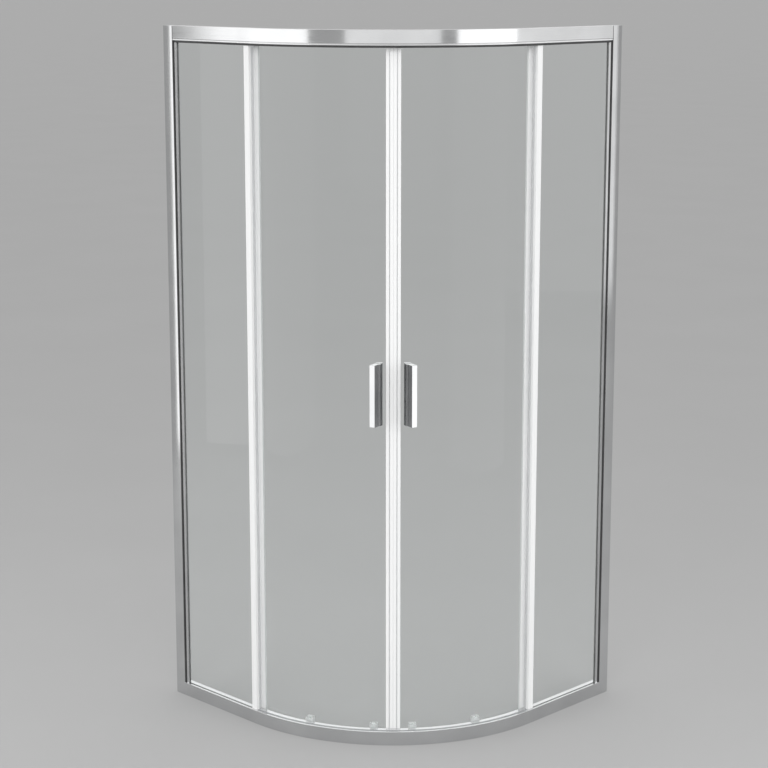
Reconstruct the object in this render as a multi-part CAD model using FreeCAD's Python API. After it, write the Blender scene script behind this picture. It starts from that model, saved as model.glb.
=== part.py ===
"""Quadrant shower enclosure with two sliding curved doors, in millimetres.

Two flat fixed panes stand between a wall post and the start of a 90 degree arc, and two curved
doors hang on twin rollers in the top rail and are guided by sprung rollers in the bottom rail.

The origin is on the floor, in the middle of the square footprint, +Z up. The room's corner is at
(-width / 2, +width / 2): one wall is the plane x = -width / 2 and the other y = +width / 2.

Everything is first drawn for the left half, in a local frame with its origin on the arc's centre.
There s runs along the rail, r is the distance outward, and the angle phi is counted from the end of
the left straight. The right half is the left one reflected in the plane y = -x.
"""
import FreeCAD
import Part
import math
import os

V = FreeCAD.Vector
UP = V(0, 0, 1)

# ---- the whole enclosure ----
width = 900.0                 # wall to the outer face of the rails, both ways
height = 1946.0
corner_radius = 550.0         # outer face of the rails round the arc

# ---- aluminium rails ----
rail_depth = 28.5             # outer face to inner edge
rail_wall = 1.5
top_rail_face = 40.0
top_rail_leg = 6.0            # recessed leg that shows below the face
top_rail_foot = 1.5           # small flange at the bottom of that leg
bottom_rail_height = 39.0
groove_setback = 5.5          # outer face to the glazing groove
groove_width = 9.0
groove_floor_height = 13.5    # underside of the groove's floor in the bottom rail
shelf_raise = 3.0             # roller shelf above the bottom of the top rail's web
track_lip = 5.0               # upturned edge of the roller shelf
guide_lip = 4.0               # downturned edge of the bottom rail
top_inner_lip = 4.0

# ---- glass ----
glass_thickness = 6.0
door_glass_gap = 4.0          # rail's inner edge to the door glass
door_glass_below_top = 10.0
door_glass_over_lip = 0.5     # door glass ends this far above the guide lip's edge
fixed_glass_end = 1.0         # fixed pane stops this far before the arc
glass_seat = 3.0              # gasket under the fixed pane
glass_in_rail = 25.0          # how far the fixed pane goes up past the top rail's leg
glass_in_post = 12.0

# ---- wall profile and post ----
profile_width = 20.0
profile_depth = 37.7           # outer leg, up to the ends of the rails
profile_inner_depth = 30.5
profile_wall = 1.5
post_clearance = 0.3
post_reach = 38.0             # wall to the ends of the rails
post_depth = 28.0
post_jaw_reach = 14.0         # thin jaws that show between the rails
cap_thickness = 2.0
wall_hole_radius = 2.75
wall_hole_low = 150.0         # lowest wall fixing hole above the floor
wall_hole_high = 146.0        # highest one below the top
wall_holes = 4
post_screw_margin = 200.0     # end screws from the floor and from the top
post_screw_setback = 17.0     # wall to the post screws' axis
screw_radius = 2.0
screw_head_radius = 3.2
screw_head_height = 2.0
screw_length = 8.0
screw_clearance = 0.1
cut_margin = 2.0              # cutters run this far past the material

# ---- corner connectors between the rails and the posts ----
connector_in_post = 13.0
connector_in_rail = 27.0
connector_height = 12.0
connector_screw_inset = 3.7   # post screw behind the joint
connector_screw_first = 9.0   # rail screws ahead of the joint
connector_screw_pitch = 12.0

# ---- gaskets and seals ----
gasket_overlap = 0.8          # gasket that shows in front of the post's jaws
gasket_back = 2.0
seal_wall = 1.0
seal_fit = 0.1                # seals on glass
edge_seal_length = 18.0
edge_seal_front = 1.0
edge_fin_reach = 11.0         # fin of the fixed seal, inward
fin_thickness = 1.0
door_fin_reach = 9.4          # fin of the door's rear seal, outward
door_fin_lean = 3.1
fin_crossing = 0.5            # tip of the fixed fin behind the tip of the door's fin
fin_rail_gap = 0.8
rear_seal_overlap = 17.0
rear_glass_edge = 8.0         # door glass behind the start of the arc
magnet_box_depth = 9.45
magnet_box_width = 9.0
magnet_leg = 9.0
magnet_neck = 1.0
magnet_size = 5.0
magnet_skin = 1.0
meeting_gap = 0.3             # between the two magnet seals
infill_wall = 1.2
infill_clearance = 0.1

# ---- door travel ----
door_travel = 26.0            # degrees
pivot_along = -7.4            # door's centre of turning from the arc's centre, along s
pivot_outward = -4.5          # and along r

# ---- top rollers ----
rear_carrier_angle = 20.0
front_carrier_angle = 39.0
wheel_radius = 10.0
wheel_tread_width = 4.0
wheel_hub_width = 3.0
wheel_rim = 2.0
wheel_chamfer = 0.4
wheel_pitch = 26.0
axle_radius = 3.0
axle_clearance = 0.05
axle_head_radius = 4.5
axle_head_thickness = 1.0
axle_collar_radius = 4.5
wheel_side_gap = 0.15
running_gap = 0.3             # wheel to its track
carrier_length = 48.0
carrier_thickness = 4.4
carrier_over_lip = 1.5
carrier_top_gap = 12.0
carrier_corner = 4.0
carrier_glass_gap = 0.3
glass_bolt_rise = 10.0        # carrier's glass hole above the axles
carrier_hole_radius = 7.0
bush_clearance = 0.3
carrier_stud_radius = 4.0
cap_radius = 12.0
cap_depth = 5.0
cap_edge = 1.5
inner_fit = 0.3               # flat inner fittings off the hollow face of the curved glass
end_stop_length = 14.0
end_stop_height = 13.0
end_stop_gap = 0.6

# ---- bottom guides ----
rear_guide_angle = 18.2
front_guide_angle = 39.0
guide_wheel_radius = 8.0
guide_wheel_rim = 1.5
guide_axle_radius = 2.5
guide_head_radius = 3.6
guide_collar_radius = 3.8
guide_width = 22.0
guide_depth = 11.0
guide_low = 21.5
guide_high = 49.5
guide_corner = 2.5
guide_hole_height = 44.0
guide_hole_radius = 4.3
guide_stud_radius = 3.5
guide_nut_width = 21.0
guide_nut_height = 8.2
guide_nut_thickness = 3.2
guide_nut_corner = 2.5
slider_width = 10.0
slider_depth = 5.0
slider_setback = 3.0          # glass to the slider
slider_clearance = 0.1
guide_roof = 2.0
arm_width = 8.0
arm_thickness = 5.4
arm_glass_gap = 2.1
tab_width = 6.0               # thumb tab that pulls the sprung slider down
tab_thickness = 3.0
tab_reach = 6.0
tab_top = 41.0

# ---- handles ----
handle_height = 169.0
handle_middle = 982.5         # height of the middle of the handle
handle_from_meeting = 38.5    # middle of the foot from the line where the doors meet
handle_foot_half = 9.8
handle_lean = 25.0            # degrees from the normal of the glass
handle_base_length = 16.0
handle_ledge = 1.8
handle_grip_length = 22.5
handle_grip_thickness = 16.2
handle_edge = 1.2
handle_screw_pitch = 100.0
handle_screw_radius = 2.5
handle_screw_depth = 9.0
handle_hole_radius = 4.0
handle_seat_radius = 3.4      # counterbore of the handle screws
handle_seat_depth = 4.0
inner_handle_width = 18.0
inner_handle_depth = 12.0
inner_handle_edge = 2.5

# ---- places worked out from the sizes above ----
half = width / 2
arc_centre = V(half - corner_radius, corner_radius - half, 0)
straight = width - corner_radius                     # wall to the start of the arc
rail_inner = corner_radius - rail_depth
groove_outer = corner_radius - groove_setback
groove_inner = groove_outer - groove_width
web_face = groove_inner - rail_wall
glass_middle = (groove_outer + groove_inner) / 2
fixed_outer = glass_middle + glass_thickness / 2
fixed_inner = glass_middle - glass_thickness / 2
door_outer = rail_inner - door_glass_gap
door_inner = door_outer - glass_thickness
door_middle = (door_outer + door_inner) / 2
leg_bottom = height - top_rail_face - top_rail_leg
shelf_top = leg_bottom + shelf_raise + rail_wall
lip_top = shelf_top + track_lip
guide_leg_under = bottom_rail_height - rail_wall
guide_lip_bottom = guide_leg_under - guide_lip
groove_floor = groove_floor_height + rail_wall
fixed_bottom = groove_floor + glass_seat
fixed_top = leg_bottom + glass_in_rail
door_bottom = guide_lip_bottom + door_glass_over_lip
door_top = height - door_glass_below_top
track_middle = (rail_inner + rail_wall + web_face) / 2
tread_inner = track_middle - wheel_tread_width / 2
axle_height = shelf_top + running_gap + wheel_radius
guide_axle_height = guide_leg_under - running_gap - guide_wheel_radius
wall_s = -straight
post_front = wall_s + post_reach
post_back = post_front - post_depth
jaw_front = post_front + post_jaw_reach
groove_back = post_front - glass_in_post - gasket_back
profile_outer = corner_radius
profile_inner = corner_radius - profile_width
post_outer = profile_outer - profile_wall - post_clearance
post_inner = profile_inner + profile_wall + post_clearance
post_top = height - cap_thickness
wall_hole_pitch = (height - wall_hole_low - wall_hole_high) / (wall_holes - 1)
post_screw_heights = (post_screw_margin, height / 2, height - post_screw_margin)
inner_face = door_inner - inner_fit
bolt_height = axle_height + glass_bolt_rise


def degrees(along, radius=door_middle):
    """Angle round the arc of a length measured along it."""
    return math.degrees(along / radius)


rear_edge = -degrees(rear_glass_edge)
front_edge = 45 - degrees(meeting_gap / 2 + magnet_box_depth + magnet_neck)
handle_angle = 45 - degrees(handle_from_meeting, door_outer)


# ---- drawing in the local frame: s along the rail, r outward, z up ----
def block(s0, s1, r0, r1, z0, z1):
    return Part.makeBox(s1 - s0, r1 - r0, z1 - z0, V(s0, -r1, z0))


def rod(radius, r0, r1, z, s=0.0):
    """Round bar pointing outward."""
    return Part.makeCylinder(radius, r1 - r0, V(s, -r0, z), V(0, -1, 0))


def outline(points):
    return Part.Face(Part.makePolygon(points + points[:1]))


def plan(points, z0, z1):
    """Upright prism on a plan outline of (s, r) points."""
    return outline([V(s, -r, z0) for s, r in points]).extrude(V(0, 0, z1 - z0))


def joined(faces):
    """Overlapping flat faces made into one face."""
    return faces[0].multiFuse(faces[1:]).removeSplitter().Faces[0]


def plan_walls(walls, z0, z1):
    """Upright extrusion whose section is made of (s0, s1, r0, r1) walls."""
    faces = []
    for s0, s1, r0, r1 in walls:
        corners = ((s0, r0), (s1, r0), (s1, r1), (s0, r1))
        faces.append(outline([V(s, -r, z0) for s, r in corners]))
    return joined(faces).extrude(V(0, 0, z1 - z0))


def rail_section(walls):
    """Rail section made of (r0, r1, z0, z1) walls, in the plane where the arc starts."""
    faces = []
    for r0, r1, z0, z1 in walls:
        corners = ((r0, z0), (r1, z0), (r1, z1), (r0, z1))
        faces.append(outline([V(0, -r, z) for r, z in corners]))
    return joined(faces)


def band(r0, r1, phi0, phi1, z0, z1):
    """Upright curved plate between two radii and two angles."""
    face = rail_section([(r0, r1, z0, z1)])
    solid = face.revolve(V(0, 0, 0), UP, phi1 - phi0).Solids[0]
    return solid.rotate(V(0, 0, 0), UP, phi0)


def rounded(shape, radius, direction):
    """Shape with the straight edges along one direction rounded."""
    edges = []
    for edge in shape.Edges:
        if isinstance(edge.Curve, Part.Line) and abs(edge.Curve.Direction.dot(direction)) > 0.999:
            edges.append(edge)
    return shape.makeFillet(radius, edges)


def fused(shapes):
    return shapes[0].multiFuse(shapes[1:]).removeSplitter()


def placed(shape, phi=0.0):
    """Local frame at the angle phi to the enclosure's frame."""
    moved = shape.copy()
    moved.rotate(V(0, 0, 0), UP, phi)
    moved.translate(arc_centre)
    return moved


def reflected(shape):
    """Left half to right half."""
    return shape.mirror(V(0, 0, 0), V(1, 1, 0))


nodes = {}


def keep(name, shapes):
    """Store a node made of one or more separate solids."""
    solids = [solid for shape in shapes for solid in shape.Solids]
    nodes[name] = solids[0] if len(solids) == 1 else Part.makeCompound(solids)


def keep_pair(name, shapes):
    """Store the left node and its reflection as the right node."""
    keep(name + "_left", shapes)
    keep(name + "_right", [reflected(shape) for shape in shapes])


# ---- rails ----
def run_of_rail(section):
    """A section swept along the left straight, the arc and the right straight."""
    leg = placed(section.extrude(V(post_front, 0, 0)))
    arc = placed(section.revolve(V(0, 0, 0), UP, 90))
    return fused([arc, leg, reflected(leg)])


def top_rail_walls():
    face_bottom = height - top_rail_face
    shelf_bottom = leg_bottom + shelf_raise
    return [
        (corner_radius - rail_wall, corner_radius, face_bottom, height),
        (rail_inner, corner_radius, height - rail_wall, height),
        (rail_inner, rail_inner + rail_wall, height - rail_wall - top_inner_lip, height),
        (web_face, groove_inner, leg_bottom, height),
        (groove_outer, groove_outer + rail_wall, leg_bottom, face_bottom + rail_wall),
        (groove_outer, corner_radius, face_bottom, face_bottom + rail_wall),
        (groove_outer, groove_outer + rail_wall + top_rail_foot, leg_bottom, leg_bottom + rail_wall),
        (rail_inner, groove_inner, shelf_bottom, shelf_top),
        (rail_inner, rail_inner + rail_wall, shelf_bottom, lip_top),
    ]


def bottom_rail_walls():
    top = bottom_rail_height
    return [
        (corner_radius - rail_wall, corner_radius, 0, top),
        (rail_inner, corner_radius, 0, rail_wall),
        (groove_outer, corner_radius, top - rail_wall, top),
        (groove_outer, groove_outer + rail_wall, groove_floor_height, top),
        (web_face, groove_outer + rail_wall, groove_floor_height, groove_floor),
        (web_face, groove_inner, 0, top),
        (rail_inner, groove_inner, guide_leg_under, top),
        (rail_inner, rail_inner + rail_wall, guide_lip_bottom, top),
    ]


def connector_screw_places():
    """Places along s of the screws in one corner connector."""
    first = post_front + connector_screw_first
    return [post_front - connector_screw_inset, first, first + connector_screw_pitch]


connector_levels = (
    (rail_wall, rail_wall + connector_height),
    (post_top - connector_height, post_top),
)


def connector_screw(s, z):
    """Pan head screw driven outward from inside the enclosure."""
    seat = post_inner if s < post_front else web_face
    shank = rod(screw_radius, seat, seat + screw_length, z, s)
    head = rod(screw_head_radius, seat - screw_head_height, seat, z, s)
    return fused([head, shank])


def connector_holes(radius, r0, r1):
    """Cutters for the connector screws."""
    cutters = []
    for low, high in connector_levels:
        for s in connector_screw_places():
            cutters.append(rod(radius, r0, r1, (low + high) / 2, s))
    return cutters


def both_sides(cutters):
    left = [placed(cutter) for cutter in cutters]
    return left + [reflected(cutter) for cutter in left]


def rails():
    holes = both_sides(connector_holes(screw_radius + screw_clearance, rail_inner, glass_middle))
    keep("top_rail", [run_of_rail(rail_section(top_rail_walls())).cut(holes)])
    keep("bottom_rail", [run_of_rail(rail_section(bottom_rail_walls())).cut(holes)])


def corner_connectors():
    blocks = []
    screws = []
    tapped = connector_holes(screw_radius, groove_inner - cut_margin, groove_outer + cut_margin)
    for low, high in connector_levels:
        body = block(post_front - connector_in_post, post_front + connector_in_rail,
                     groove_inner, groove_outer, low, high)
        blocks.append(body.cut(tapped))
        for s in connector_screw_places():
            screws.append(connector_screw(s, (low + high) / 2))
    keep("corner_connectors", both_sides(blocks))
    keep("connector_screws", both_sides(screws))


def rail_infill():
    """Clip-in strip that closes the empty glazing groove under the doors."""
    inner = groove_inner + infill_clearance
    outer = groove_outer - infill_clearance
    top = bottom_rail_height
    section = rail_section([
        (inner, outer, top - infill_wall, top),
        (inner, inner + infill_wall, groove_floor, top),
        (outer - infill_wall, outer, groove_floor, top),
    ])
    keep("rail_infill", [placed(section.revolve(V(0, 0, 0), UP, 90).Solids[0])])


# ---- wall profiles and posts ----
def post_screw_holes(radius):
    s = wall_s + post_screw_setback
    inner = profile_inner - cut_margin
    return [rod(radius, inner, glass_middle, z, s) for z in post_screw_heights]


def wall_profiles():
    body = plan_walls([
        (wall_s, wall_s + profile_wall, profile_inner, profile_outer),
        (wall_s, wall_s + profile_depth, profile_outer - profile_wall, profile_outer),
        (wall_s, wall_s + profile_inner_depth, profile_inner, profile_inner + profile_wall),
    ], 0, height)
    middle = (profile_inner + profile_outer) / 2
    cutters = post_screw_holes(screw_radius + screw_clearance)
    for number in range(wall_holes):
        z = wall_hole_low + number * wall_hole_pitch
        start = V(wall_s - cut_margin, -middle, z)
        length = profile_wall + 2 * cut_margin
        cutters.append(Part.makeCylinder(wall_hole_radius, length, start, V(1, 0, 0)))
    keep_pair("wall_profile", [placed(body.cut(cutters))])


def side_posts():
    """Posts with a full height body and thin jaws that hold the pane between the rails."""
    jaw_back = groove_back - profile_wall
    body = plan_walls([
        (post_back, post_back + profile_wall, post_inner, post_outer),
        (post_back, post_front, post_outer - profile_wall, post_outer),
        (post_back, post_front, post_inner, post_inner + profile_wall),
        (jaw_back, post_front, groove_outer, post_outer),
        (jaw_back, post_front, post_inner, groove_inner),
        (jaw_back, groove_back, post_inner, post_outer),
    ], 0, post_top)
    for r0, r1 in ((groove_outer, groove_outer + rail_wall), (web_face, groove_inner)):
        jaw = block(groove_back, jaw_front, r0, r1, bottom_rail_height, leg_bottom)
        body = fused([body, jaw])
    cutters = post_screw_holes(screw_radius) + connector_holes(screw_radius, profile_inner, glass_middle)
    keep_pair("side_post", [placed(body.cut(cutters))])
    cap = block(wall_s + profile_wall, post_front, post_inner, post_outer, post_top, height)
    keep("post_caps", both_sides([cap]))


def post_screws():
    screws = []
    for z in post_screw_heights:
        s = wall_s + post_screw_setback
        shank = rod(screw_radius, profile_inner, profile_inner + screw_length, z, s)
        head = rod(screw_head_radius, profile_inner - screw_head_height, profile_inner, z, s)
        screws.append(fused([head, shank]))
    keep("post_screws", both_sides(screws))


# ---- fixed panes ----
def fixed_panes():
    s0 = post_front - glass_in_post
    s1 = -fixed_glass_end
    pane = block(s0, s1, fixed_inner, fixed_outer, fixed_bottom, fixed_top)
    keep_pair("fixed_glass", [placed(pane)])
    upright = block(groove_back, jaw_front + gasket_overlap, groove_inner, groove_outer,
                    groove_floor, fixed_top + gasket_back)
    sill = block(groove_back, s1, groove_inner, groove_outer, groove_floor, bottom_rail_height)
    head = block(groove_back, s1, groove_inner, groove_outer, leg_bottom, fixed_top + gasket_back)
    gasket = fused([upright, sill, head]).cut(pane)
    keep_pair("glass_gasket", [placed(gasket)])


def edge_seals():
    """Seal on the free edge of the fixed pane, with a fin towards the door."""
    s1 = -fixed_glass_end
    outer = fixed_outer + seal_wall
    inner = fixed_inner - seal_wall
    channel = plan_walls([
        (s1 - edge_seal_length, edge_seal_front, fixed_outer, outer),
        (s1 - edge_seal_length, edge_seal_front, inner, fixed_inner),
        (s1, edge_seal_front, inner, outer),
    ], bottom_rail_height, leg_bottom)
    tip_radius = fixed_inner - edge_fin_reach - seal_wall
    tip = fin_tip() - fin_crossing
    fin = plan([
        (-fin_thickness, inner + seal_wall / 2),
        (edge_seal_front, inner + seal_wall / 2),
        (tip + fin_thickness, tip_radius),
        (tip, tip_radius),
    ], bottom_rail_height, leg_bottom)
    keep_pair("fixed_edge_seal", [placed(fused([channel, fin]))])


# ---- doors ----
def fin_tip():
    """Place along s of the outer end of the door's rear fin, on its front side."""
    return -rear_glass_edge + door_fin_lean


def door_holes():
    """Cutters through the door glass."""
    low = door_inner - cut_margin
    high = door_outer + cut_margin
    cutters = []
    for phi in (rear_carrier_angle, front_carrier_angle):
        hole = rod(carrier_hole_radius, low, high, bolt_height)
        cutters.append(placed(hole, phi))
    for phi in (rear_guide_angle, front_guide_angle):
        hole = rod(guide_hole_radius, low, high, guide_hole_height)
        cutters.append(placed(hole, phi))
    for z in handle_screw_heights():
        hole = rod(handle_hole_radius, low, high, z)
        cutters.append(placed(hole, handle_angle))
    return cutters


def door_glass():
    pane = placed(band(door_inner, door_outer, rear_edge, front_edge, door_bottom, door_top))
    keep_pair("door_glass", [pane.cut(door_holes())])


def seal_legs(phi0, phi1):
    """The two thin legs of a seal along the curved glass."""
    outer = door_outer + seal_fit
    inner = door_inner - seal_fit
    return [
        band(outer, outer + seal_wall, phi0, phi1, door_bottom, door_top),
        band(inner - seal_wall, inner, phi0, phi1, door_bottom, door_top),
    ]


def rear_seals():
    outer = door_outer + seal_fit + seal_wall
    inner = door_inner - seal_fit - seal_wall
    back = rear_edge - degrees(seal_wall + seal_fit)
    closing = band(inner, outer, back, rear_edge - degrees(seal_fit), door_bottom, door_top)
    legs = seal_legs(back, rear_edge + degrees(rear_seal_overlap))
    root = -rear_glass_edge - seal_fit
    fin = plan([
        (root - fin_thickness, outer - seal_wall / 2),
        (root, outer - seal_wall / 2),
        (fin_tip(), outer + door_fin_reach),
        (fin_tip() - fin_thickness, outer + door_fin_reach),
    ], bottom_rail_height + fin_rail_gap, leg_bottom - fin_rail_gap)
    keep_pair("rear_seal", [placed(fused([closing, fin] + legs))])


def magnet_seals():
    end = 45 - degrees(meeting_gap / 2)
    box_back = end - degrees(magnet_box_depth)
    low = door_middle - magnet_box_width / 2
    high = door_middle + magnet_box_width / 2
    leg_inner = door_inner - seal_fit - seal_wall
    leg_outer = door_outer + seal_fit + seal_wall
    neck_back = front_edge + degrees(seal_fit)
    box = band(low, high, box_back, end, door_bottom, door_top)
    neck = band(leg_inner, leg_outer, neck_back, box_back, door_bottom, door_top)
    legs = seal_legs(front_edge - degrees(magnet_leg), neck_back)
    magnet = band(door_middle - magnet_size / 2, door_middle + magnet_size / 2,
                  end - degrees(magnet_skin + magnet_size), end - degrees(magnet_skin),
                  door_bottom, door_top)
    keep_pair("magnet_seal", [placed(fused([box, neck] + legs).cut(magnet))])
    keep_pair("magnet_strip", [placed(magnet)])


# ---- top rollers ----
def wheel(radius, rim, bore):
    """Plain tread wheel on an outward axis, with its face recessed on the outer side."""
    hub = wheel_tread_width - wheel_hub_width
    c = wheel_chamfer
    points = [
        V(bore, 0, 0), V(radius - c, 0, 0), V(radius, c, 0),
        V(radius, wheel_tread_width - c, 0), V(radius - c, wheel_tread_width, 0),
        V(radius - rim, wheel_tread_width, 0), V(radius - rim, wheel_tread_width - hub, 0),
        V(bore, wheel_tread_width - hub, 0),
    ]
    turned = outline(points).revolve(V(0, 0, 0), V(0, 1, 0), 360).Solids[0]
    turned.rotate(V(0, 0, 0), V(0, 0, 1), 180)
    return turned


def wheel_at(radius, rim, bore, s, z):
    turned = wheel(radius, rim, bore)
    turned.translate(V(s, -tread_inner, z))
    return turned


def axle(radius, collar, head, start, s, z):
    """Stepped axle that grows outward from a carrier and ends in a head outside the hub."""
    hub_outer = tread_inner + wheel_hub_width
    return [
        rod(collar, start, tread_inner - wheel_side_gap, z, s),
        rod(radius, start, hub_outer + wheel_side_gap, z, s),
        rod(head, hub_outer + wheel_side_gap, hub_outer + wheel_side_gap + axle_head_thickness, z, s),
    ]


carrier_inner = door_outer + carrier_glass_gap
carrier_outer = carrier_inner + carrier_thickness


def top_carrier(phi):
    """Die-cast carrier with two axles and a bush through the glass."""
    plate = block(-carrier_length / 2, carrier_length / 2, carrier_inner, carrier_outer,
                  lip_top + carrier_over_lip, height - carrier_top_gap)
    parts = [rounded(plate, carrier_corner, V(0, 1, 0))]
    for s in (-wheel_pitch / 2, wheel_pitch / 2):
        parts += axle(axle_radius, axle_collar_radius, axle_head_radius, carrier_outer, s, axle_height)
    parts.append(rod(carrier_hole_radius - bush_clearance, inner_face, carrier_inner, bolt_height))
    tapped = rod(carrier_stud_radius, inner_face, carrier_outer, bolt_height)
    return placed(fused(parts).cut(tapped), phi)


def carrier_cap(phi):
    """Round inner cap with a stud that screws into the carrier's bush."""
    disc = rod(cap_radius, inner_face - cap_depth, inner_face, bolt_height)
    rim = [edge for edge in disc.Edges if abs(edge.CenterOfMass.y + inner_face - cap_depth) < 0.01]
    disc = disc.makeChamfer(cap_edge, rim)
    stud = rod(carrier_stud_radius, inner_face, carrier_outer, bolt_height)
    return placed(fused([disc, stud]), phi)


def top_rollers():
    caps = []
    for place, phi in (("rear", rear_carrier_angle), ("front", front_carrier_angle)):
        keep_pair("top_carrier_" + place, [top_carrier(phi)])
        caps.append(carrier_cap(phi))
        for side, s in (("a", -wheel_pitch / 2), ("b", wheel_pitch / 2)):
            tyre = wheel_at(wheel_radius, wheel_rim, axle_radius + axle_clearance, s, axle_height)
            keep_pair("top_wheel_" + place + "_" + side, [placed(tyre, phi)])
    keep_pair("carrier_caps", caps)


def end_stops():
    """Blocks in the roller track that the rear wheels meet with the doors fully open."""
    phi = math.radians(rear_carrier_angle)
    start = V(track_middle * math.sin(phi) - wheel_pitch / 2 * math.cos(phi),
              -track_middle * math.cos(phi) - wheel_pitch / 2 * math.sin(phi), 0)
    pivot = V(pivot_along, -pivot_outward, 0)
    reached = FreeCAD.Rotation(UP, -door_travel).multVec(start - pivot) + pivot
    face = reached.x - wheel_radius - end_stop_gap
    stop = block(face - end_stop_length, face, rail_inner + rail_wall, web_face,
                 shelf_top, shelf_top + end_stop_height)
    keep("end_stops", both_sides([stop]))


# ---- bottom guides ----
slider_outer = door_inner - slider_setback
slider_inner = slider_outer - slider_depth
arm_top = door_bottom - arm_glass_gap
stem_top = guide_high - guide_roof - slider_clearance
housing_back = inner_face - guide_depth


def guide_housing(phi):
    """Housing on the inner side of the glass, open below, that the slider runs up and down in."""
    body = block(-guide_width / 2, guide_width / 2, housing_back, inner_face, guide_low, guide_high)
    body = rounded(body, guide_corner, UP)
    side = slider_width / 2 + slider_clearance
    slot = block(-side, side, slider_inner - slider_clearance, slider_outer + slider_clearance,
                 guide_low - cut_margin, stem_top + slider_clearance)
    mouth = block(-side, side, slider_inner - slider_clearance, inner_face + cut_margin,
                  guide_low - cut_margin, arm_top + slider_clearance)
    side = tab_width / 2 + slider_clearance
    tab_slot = block(-side, side, housing_back - cut_margin, slider_inner,
                     guide_low - cut_margin, tab_top + slider_clearance)
    body = body.cut([slot, mouth, tab_slot])
    stud = rod(guide_stud_radius, slider_outer + slider_clearance, door_outer, guide_hole_height)
    return placed(fused([body, stud]), phi)


def guide_nut(phi):
    """Clamping plate on the outer side of the glass."""
    plate = block(-guide_nut_width / 2, guide_nut_width / 2, door_outer,
                  door_outer + guide_nut_thickness, guide_hole_height - guide_nut_height / 2,
                  guide_hole_height + guide_nut_height / 2)
    return placed(rounded(plate, guide_nut_corner, V(0, 1, 0)), phi)


def guide_slider(phi):
    """Sprung slider: stem in the housing, thumb tab to the inside and arm that carries the wheel."""
    stem = block(-slider_width / 2, slider_width / 2, slider_inner, slider_outer,
                 arm_top - arm_thickness, stem_top)
    tab = block(-tab_width / 2, tab_width / 2, housing_back - tab_reach, slider_inner,
                tab_top - tab_thickness, tab_top)
    arm = block(-arm_width / 2, arm_width / 2, slider_inner, door_outer + carrier_glass_gap,
                arm_top - arm_thickness, arm_top)
    pins = axle(guide_axle_radius, guide_collar_radius, guide_head_radius,
                door_outer + carrier_glass_gap, 0.0, guide_axle_height)
    return placed(fused([stem, tab, arm] + pins), phi)


def bottom_guides():
    housings = []
    nuts = []
    for place, phi in (("rear", rear_guide_angle), ("front", front_guide_angle)):
        housings.append(guide_housing(phi))
        nuts.append(guide_nut(phi))
        keep_pair("guide_slider_" + place, [guide_slider(phi)])
        roller = wheel_at(guide_wheel_radius, guide_wheel_rim, guide_axle_radius + axle_clearance,
                          0.0, guide_axle_height)
        keep_pair("guide_wheel_" + place, [placed(roller, phi)])
    keep_pair("guide_housings", housings)
    keep_pair("guide_nuts", nuts)


# ---- handles ----
def handle_screw_heights():
    return (handle_middle - handle_screw_pitch / 2, handle_middle + handle_screw_pitch / 2)


def handle_outline():
    """Plan of the leaning grip: a thicker base on the glass and a grip set back by a ledge."""
    lean = math.radians(handle_lean)
    along = V(-math.sin(lean), math.cos(lean), 0)
    across = V(math.cos(lean), math.sin(lean), 0)
    foot = V(handle_foot_half, door_outer + carrier_glass_gap, 0)
    shoulder = foot + along * handle_base_length
    ledge = shoulder - across * handle_ledge
    nose = ledge + along * handle_grip_length
    heel = nose - across * handle_grip_thickness
    back = heel - along * ((heel.y - foot.y) / along.y)
    return [(p.x, p.y) for p in (foot, shoulder, ledge, nose, heel, back)]


def screw_bores(radius, r0, r1):
    return [rod(radius, r0, r1, z) for z in handle_screw_heights()]


def handles():
    low = handle_middle - handle_height / 2
    high = handle_middle + handle_height / 2
    foot = door_outer + carrier_glass_gap
    grip = plan(handle_outline(), low, high)
    nose, heel = handle_outline()[3:5]
    ends = []
    for edge in grip.Edges:
        at = edge.CenterOfMass
        upright = abs(edge.tangentAt(edge.FirstParameter).z) > 0.9
        if upright and min(abs(at.y + nose[1]), abs(at.y + heel[1])) < 0.01:
            ends.append(edge)
    grip = grip.makeFillet(handle_edge, ends)
    bosses = screw_bores(handle_hole_radius - bush_clearance, door_middle, foot)
    tapped = screw_bores(handle_screw_radius, door_middle, foot + handle_screw_depth)
    keep_pair("handle_outer", [placed(fused([grip] + bosses).cut(tapped), handle_angle)])

    back = inner_face - inner_handle_depth
    plate = block(-inner_handle_width / 2, inner_handle_width / 2, back, inner_face, low, high)
    edges = []
    for edge in plate.Edges:
        if abs(edge.CenterOfMass.y + back) < 0.01:
            edges.append(edge)
    plate = plate.makeFillet(inner_handle_edge, edges)
    seat = back + handle_seat_depth
    seats = screw_bores(handle_seat_radius, back, seat)
    bores = screw_bores(handle_screw_radius + screw_clearance, back, inner_face)
    keep_pair("handle_inner", [placed(plate.cut(seats + bores), handle_angle)])

    screws = []
    for z in handle_screw_heights():
        head = rod(screw_head_radius, seat - screw_head_height, seat, z)
        shank = rod(handle_screw_radius, seat, foot + handle_screw_depth, z)
        screws.append(placed(fused([head, shank]), handle_angle))
    keep_pair("handle_screws", screws)


rails()
corner_connectors()
rail_infill()
wall_profiles()
side_posts()
post_screws()
fixed_panes()
edge_seals()
door_glass()
rear_seals()
magnet_seals()
top_rollers()
end_stops()
bottom_guides()
handles()

os.makedirs("parts", exist_ok=True)
for name, shape in nodes.items():
    shape.exportStep("parts/" + name + ".step")
    print(name, "solids", len(shape.Solids), "volume", round(shape.Volume), "valid", shape.isValid())
print(len(nodes), "nodes")
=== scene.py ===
"""Looks of the quadrant shower enclosure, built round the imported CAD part.

Lengths are in millimetres and become metres in at(). As in the source, s runs along the rail, r is
the distance outward from the arc's centre, and phi is the angle from the end of the left straight.
"""

import math

import bmesh
import bpy
from mathutils import Matrix, Vector

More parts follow.
